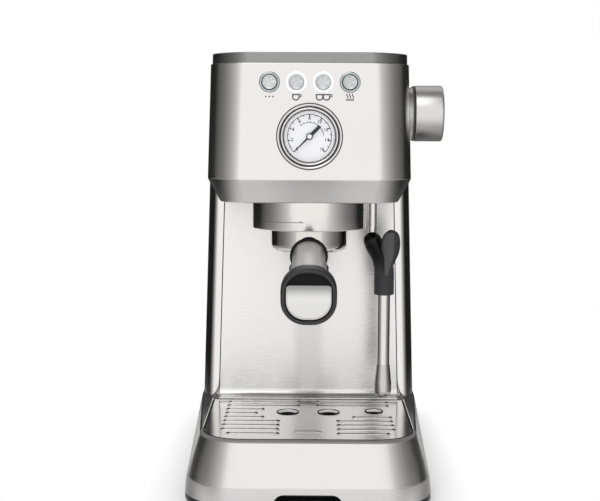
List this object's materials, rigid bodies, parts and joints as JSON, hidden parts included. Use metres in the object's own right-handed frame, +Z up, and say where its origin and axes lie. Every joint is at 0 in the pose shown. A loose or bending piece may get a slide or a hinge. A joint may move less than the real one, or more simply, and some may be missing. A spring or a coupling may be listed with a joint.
{
  "type": "espresso machine",
  "caption": "Slim pump espresso machine with a bayonet portafilter, swinging steam wand, pressure gauge, slide-out drip tray and lift-out rear water tank.",
  "frame": {"origin": "on the counter, under the front face of the column, on the plane of symmetry", "axes": "+Z up, -Y towards the user, +X to the right as seen from the front"},
  "size_m": [0.1948, 0.3482, 0.3331],
  "materials": {
    "chassis_plastic": "moulded black",
    "foot_rubber": "matt",
    "screw_steel": "zinc plated",
    "painted_steel": "silver satin",
    "brushed_plate": "brushed",
    "zinc_steel": "zinc plated sheet",
    "band_metal": "dark satin",
    "tank_plastic": "clear smoke",
    "white_plastic": "moulded",
    "polished_steel": "polished",
    "gloss_black": "gloss",
    "cast_aluminium": "as cast",
    "chromed_metal": "polished",
    "grip_plastic": "satin black",
    "badge_metal": "satin",
    "dial_white": "printed white",
    "gauge_lens": "clear",
    "needle_metal": "dark",
    "ring_steel": "satin",
    "cap_steel": "radially brushed",
    "board_green": "lacquered",
    "knob_steel": "turned",
    "valve_brass": "machined",
    "hose_plastic": "translucent"
  },
  "bodies": {
    "machine": {"base_chassis": "chassis_plastic", "feet": "foot_rubber", "base_screws": "screw_steel", "base_skirt": "painted_steel", "body_shell": "painted_steel", "splash_panel": "brushed_plate", "rear_cover": "chassis_plastic", "support_frame": "zinc_steel", "head_shell": "painted_steel", "head_floor": "chassis_plastic", "top_frame": "band_metal", "cup_tray": "brushed_plate", "tank_seal": "foot_rubber", "group_ring": "polished_steel", "group_collar": "gloss_black", "group_head": "cast_aluminium", "group_gasket": "foot_rubber", "shower_screen": "polished_steel", "screen_screw": "screw_steel", "steam_pipe": "polished_steel", "gauge_case": "chromed_metal", "gauge_dial": "dial_white", "gauge_glass": "gauge_lens", "button_rings": "ring_steel", "control_board": "board_green", "knob_bezel": "gloss_black", "steam_valve": "valve_brass", "thermoblock": "cast_aluminium", "pump": "grip_plastic", "pump_mounts": "foot_rubber", "solenoid_valve": "grip_plastic", "flow_meter": "white_plastic", "water_hoses": "hose_plastic", "switch_bezel": "chassis_plastic", "cord_gland": "foot_rubber"},
    "tray": {"drip_tray": "chassis_plastic", "tray_front": "painted_steel"},
    "grid": {"drip_grid": "brushed_plate"},
    "tank": {"water_tank": "tank_plastic", "tank_valve": "white_plastic"},
    "lid": {"tank_lid": "chassis_plastic"},
    "portafilter": {"portafilter_body": "chromed_metal", "filter_basket": "polished_steel", "portafilter_spout": "chromed_metal", "neck_seal": "gloss_black", "portafilter_neck": "chromed_metal", "portafilter_grip": "grip_plastic", "grip_badge": "badge_metal"},
    "wand_joint": {"wand_ball": "gloss_black"},
    "wand": {"wand_sleeve": "grip_plastic", "wand_tab": "grip_plastic", "wand_tube": "polished_steel", "wand_tip": "brushed_plate"},
    "needle": {"gauge_needle": "needle_metal"},
    "program_key": {"program_button": "cap_steel"},
    "single_cup_key": {"single_cup_button": "cap_steel"},
    "double_cup_key": {"double_cup_button": "cap_steel"},
    "steam_key": {"steam_button": "cap_steel"},
    "knob": {"steam_knob": "knob_steel"},
    "switch": {"power_switch": "gloss_black"}
  },
  "joints": [
    {"name": "portafilter_turn", "type": "hinge", "parent": "machine", "child": "portafilter", "pos_m": [0, -0.071, 0.206], "axis": [0, 0, -1], "range_deg": [0, 45]},
    {"name": "tray_slide", "type": "slide", "parent": "machine", "child": "tray", "axis": [0, -1, 0], "range_m": [0, 0.15]},
    {"name": "grid_lift", "type": "slide", "parent": "tray", "child": "grid", "axis": [0, 0, 1], "range_m": [0, 0.015]},
    {"name": "tank_lift", "type": "slide", "parent": "machine", "child": "tank", "axis": [0, 0, 1], "range_m": [0, 0.15]},
    {"name": "lid_hinge", "type": "hinge", "parent": "tank", "child": "lid", "pos_m": [0, 0.096, 0.3265], "axis": [1, 0, 0], "range_deg": [0, 95]},
    {"name": "wand_swing", "type": "hinge", "parent": "machine", "child": "wand_joint", "pos_m": [0.0494, -0.07, 0.1915], "axis": [0, -1, 0], "range_deg": [0, 35]},
    {"name": "wand_tilt", "type": "hinge", "parent": "wand_joint", "child": "wand", "pos_m": [0.0494, -0.07, 0.1915], "axis": [-1, 0, 0], "range_deg": [0, 40]},
    {"name": "needle_turn", "type": "hinge", "parent": "machine", "child": "needle", "pos_m": [0, -0.127, 0.2725], "axis": [0, 1, 0], "range_deg": [0, 270], "stiffness_Nm_per_rad": 0.0002, "springref_deg": -17.19},
    {"name": "knob_turn", "type": "hinge", "parent": "machine", "child": "knob", "pos_m": [0.09, -0.069, 0.29], "axis": [1, 0, 0], "range_deg": [0, 270]},
    {"name": "switch_rock", "type": "hinge", "parent": "machine", "child": "switch", "pos_m": [-0.046, 0.141, 0.0287], "axis": [1, 0, 0], "range_deg": [0, 14]},
    {"name": "program_press", "type": "slide", "parent": "machine", "child": "program_key", "axis": [0, 1, 0], "range_m": [0, 0.0015], "stiffness_N_per_m": 400, "springref_m": -0.0025},
    {"name": "single_cup_press", "type": "slide", "parent": "machine", "child": "single_cup_key", "axis": [0, 1, 0], "range_m": [0, 0.0015], "stiffness_N_per_m": 400, "springref_m": -0.0025},
    {"name": "double_cup_press", "type": "slide", "parent": "machine", "child": "double_cup_key", "axis": [0, 1, 0], "range_m": [0, 0.0015], "stiffness_N_per_m": 400, "springref_m": -0.0025},
    {"name": "steam_press", "type": "slide", "parent": "machine", "child": "steam_key", "axis": [0, 1, 0], "range_m": [0, 0.0015], "stiffness_N_per_m": 400, "springref_m": -0.0025}
  ]
}
